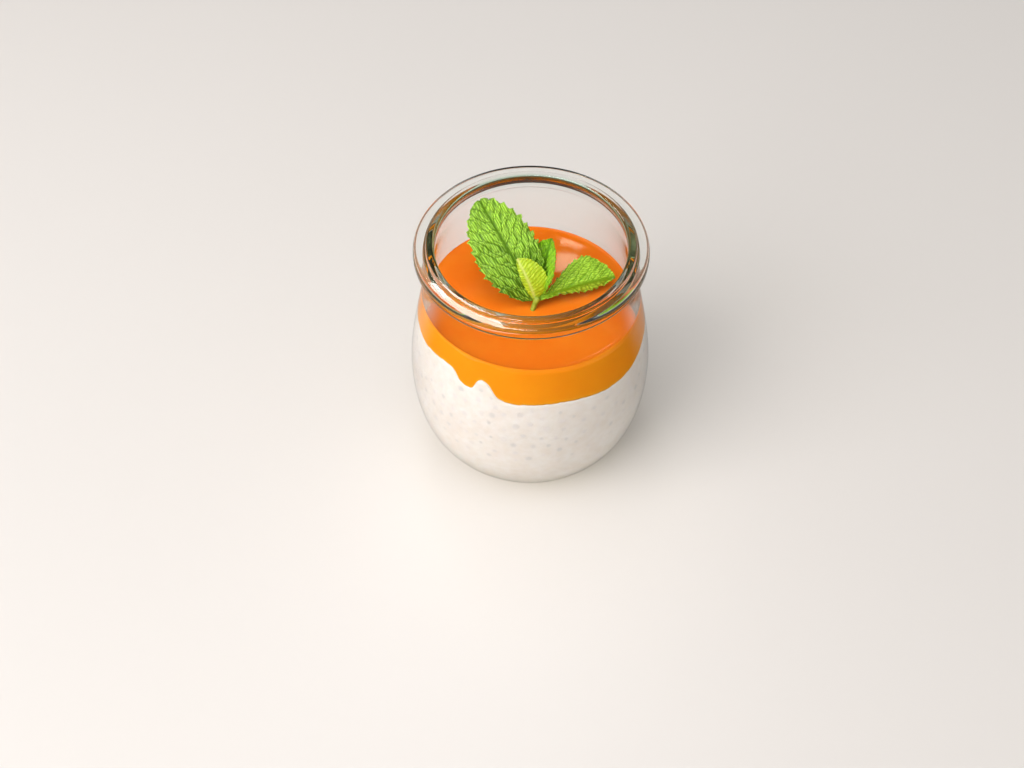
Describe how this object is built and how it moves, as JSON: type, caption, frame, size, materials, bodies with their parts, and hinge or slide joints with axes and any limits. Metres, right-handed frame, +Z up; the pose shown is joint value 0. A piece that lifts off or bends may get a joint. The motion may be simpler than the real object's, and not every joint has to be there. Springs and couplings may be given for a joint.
{
  "type": "tapioca pudding in a glass jar",
  "caption": "Creamy tapioca pudding under a layer of mango puree in a clear tulip-shaped preserving jar, topped with a fresh mint sprig.",
  "frame": {"origin": "the middle of the jar's foot, on the surface that it stands on", "axes": "+Z up along the jar's axis, -Y towards the front, where the edge of the puree dips lowest"},
  "size_m": [0.072, 0.072, 0.0822],
  "materials": {
    "clear_glass": "clear, polished, faintly green where thick",
    "cream_pudding": "smooth moist cream with soft pearls",
    "mango_puree": "smooth and glossy",
    "mint_green": "fresh leaf, puckered between its veins"
  },
  "bodies": {
    "root": {"glass_jar": "clear_glass", "tapioca_pudding": "cream_pudding", "mango_puree": "mango_puree", "mint_sprig": "mint_green"}
  },
  "joints": []
}
